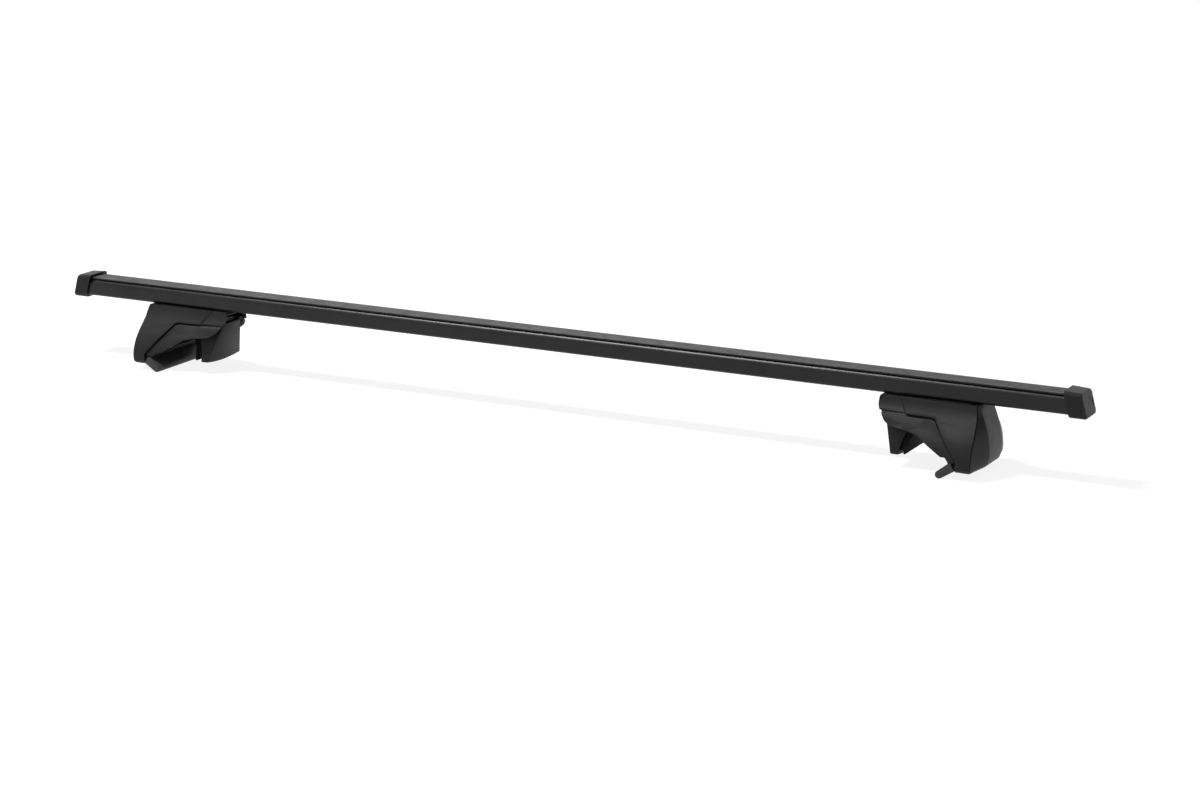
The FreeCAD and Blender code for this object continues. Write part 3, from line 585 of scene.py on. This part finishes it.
def floor_material(colour):
    """Pale floor that the camera and shines see as white, and that still takes a shadow near the object."""
    material = bpy.data.materials.new("studio_floor")
    tree = empty_tree(material)
    output = add_node(tree, "ShaderNodeOutputMaterial")
    plain = add_node(tree, "ShaderNodeBsdfDiffuse", {"Color": (*colour, 1.0)})
    shaded = add_node(tree, "ShaderNodeBsdfDiffuse", {"Color": FLOOR_SHADE})
    away = add_node(tree, "ShaderNodeVectorMath", operation="LENGTH")
    tree.links.new(add_node(tree, "ShaderNodeTexCoord").outputs["Object"], away.inputs[0])
    rise = add_node(tree, "ShaderNodeMapRange", FLOOR_LIFT, interpolation_type="SMOOTHSTEP")
    tree.links.new(away.outputs["Value"], rise.inputs["Value"])
    lift = add_node(tree, "ShaderNodeEmission", {"Color": WHITE})
    tree.links.new(rise.outputs["Result"], lift.inputs["Strength"])
    lifted = add_node(tree, "ShaderNodeAddShader")
    tree.links.new(shaded.outputs[0], lifted.inputs[0])
    tree.links.new(lift.outputs[0], lifted.inputs[1])
    mix = add_node(tree, "ShaderNodeMixShader")
    tree.links.new(backdrop_share(tree), mix.inputs[0])
    tree.links.new(plain.outputs[0], mix.inputs[1])
    tree.links.new(lifted.outputs[0], mix.inputs[2])
    tree.links.new(mix.outputs[0], output.inputs["Surface"])
    return material


def backdrop_share(tree):
    """1 for rays that see the white backdrop, directly or in a shine, 0 for those that light the object."""
    path = add_node(tree, "ShaderNodeLightPath")
    share = path.outputs["Is Camera Ray"]
    for kind in ("Is Glossy Ray", "Is Transmission Ray"):
        either = add_node(tree, "ShaderNodeMath", operation="MAXIMUM")
        tree.links.new(share, either.inputs[0])
        tree.links.new(path.outputs[kind], either.inputs[1])
        share = either.outputs[0]
    return share


def white_world():
    """Room light that is brightest above and to the front left, and a white backdrop."""
    world = bpy.data.worlds.new("studio_room")
    tree = empty_tree(world)
    output = add_node(tree, "ShaderNodeOutputWorld")
    way = add_node(tree, "ShaderNodeTexCoord").outputs["Generated"]
    side = add_node(tree, "ShaderNodeVectorMath", {1: ROOM_BRIGHT_SIDE}, operation="DOT_PRODUCT")
    tree.links.new(way, side.inputs[0])
    grade = add_node(tree, "ShaderNodeMapRange", ROOM_GRADE, interpolation_type="SMOOTHSTEP")
    tree.links.new(side.outputs["Value"], grade.inputs["Value"])
    room = add_node(tree, "ShaderNodeBackground", {"Color": WHITE})
    tree.links.new(grade.outputs["Result"], room.inputs["Strength"])
    backdrop = add_node(tree, "ShaderNodeBackground", {"Color": WHITE, "Strength": 1.0})
    mix = add_node(tree, "ShaderNodeMixShader")
    tree.links.new(backdrop_share(tree), mix.inputs[0])
    tree.links.new(room.outputs[0], mix.inputs[1])
    tree.links.new(backdrop.outputs[0], mix.inputs[2])
    tree.links.new(mix.outputs[0], output.inputs["Surface"])
    bpy.context.scene.world = world


def softbox(name, place, target, size, power):
    """A rectangular soft light aimed at a point."""
    lamp = bpy.data.lights.new(name, "AREA")
    lamp.shape = "RECTANGLE"
    lamp.size, lamp.size_y = size
    lamp.energy = power
    item = bpy.data.objects.new(name, lamp)
    item.location = place
    item.rotation_euler = (Vector(target) - Vector(place)).to_track_quat("-Z", "Y").to_euler()
    item.visible_camera = False
    bpy.context.scene.collection.objects.link(item)
    return item


class CROSSBAR_OT_stage(bpy.types.Operator):
    """Set up the floor, the lights and the camera"""

    bl_idname = "crossbar.stage"
    bl_label = "Studio"

    def execute(self, context):
        settings = stage_settings()
        bpy.ops.object.select_all(action="DESELECT")
        bpy.ops.mesh.primitive_plane_add(size=FLOOR_SIZE, location=(0.0, 0.0, 0.0))
        floor = context.object
        floor.name = "studio_floor"
        floor.data.materials.append(floor_material(settings.floor_colour))
        white_world()
        softbox("key_softbox", KEY_PLACE, KEY_TARGET, KEY_SIZE, settings.key_power)
        card = softbox("front_card", CARD_PLACE, CARD_TARGET, CARD_SIZE, settings.fill_power)
        card.visible_glossy = False
        softbox("rim_card", RIM_PLACE, RIM_TARGET, RIM_SIZE, settings.rim_power)
        camera = bpy.data.objects.new("camera", bpy.data.cameras.new("camera"))
        context.scene.collection.objects.link(camera)
        camera.data.lens = settings.lens
        camera.data.sensor_width = SENSOR_WIDTH
        camera.data.clip_start, camera.data.clip_end = CAMERA_CLIP
        camera.location = CAMERA_PLACE
        camera.rotation_euler = [math.radians(angle) for angle in CAMERA_TURN]
        context.scene.camera = camera
        context.scene.view_settings.view_transform = "Standard"
        return {"FINISHED"}


PIECE_OPERATORS = (
    CROSSBAR_OT_bar,
    CROSSBAR_OT_strip,
    CROSSBAR_OT_caps,
    CROSSBAR_OT_covers,
    CROSSBAR_OT_saddles,
    CROSSBAR_OT_jaws,
    CROSSBAR_OT_pads,
    CROSSBAR_OT_fixings,
    CROSSBAR_OT_stage,
)


class CROSSBAR_PT_panel(bpy.types.Panel):
    """Lists the finishes and the steps"""

    bl_idname = "CROSSBAR_PT_panel"
    bl_label = "Cross Bar"
    bl_space_type = "VIEW_3D"
    bl_region_type = "UI"
    bl_category = "Cross Bar"

    def draw(self, context):
        for group in (finishes(), edges(), stage_settings()):
            box = self.layout.box()
            for name in group.bl_rna.properties.keys():
                if name not in ("rna_type", "name"):
                    box.prop(group, name)
        for operator in PIECE_OPERATORS:
            self.layout.operator(operator.bl_idname)


CLASSES = (CrossBarFinishes, CrossBarEdges, CrossBarStage, *PIECE_OPERATORS, CROSSBAR_PT_panel)


def register():
    for item in CLASSES:
        bpy.utils.register_class(item)
    bpy.types.Scene.cross_bar_finishes = PointerProperty(type=CrossBarFinishes)
    bpy.types.Scene.cross_bar_edges = PointerProperty(type=CrossBarEdges)
    bpy.types.Scene.cross_bar_stage = PointerProperty(type=CrossBarStage)


def unregister():
    del bpy.types.Scene.cross_bar_stage
    del bpy.types.Scene.cross_bar_edges
    del bpy.types.Scene.cross_bar_finishes
    for item in reversed(CLASSES):
        bpy.utils.unregister_class(item)


def main():
    register()
    bpy.ops.crossbar.bar()
    bpy.ops.crossbar.strip()
    bpy.ops.crossbar.caps()
    bpy.ops.crossbar.covers()
    bpy.ops.crossbar.saddles()
    bpy.ops.crossbar.jaws()
    bpy.ops.crossbar.pads()
    bpy.ops.crossbar.fixings()
    bpy.ops.crossbar.stage()


if __name__ == "__main__":
    main()
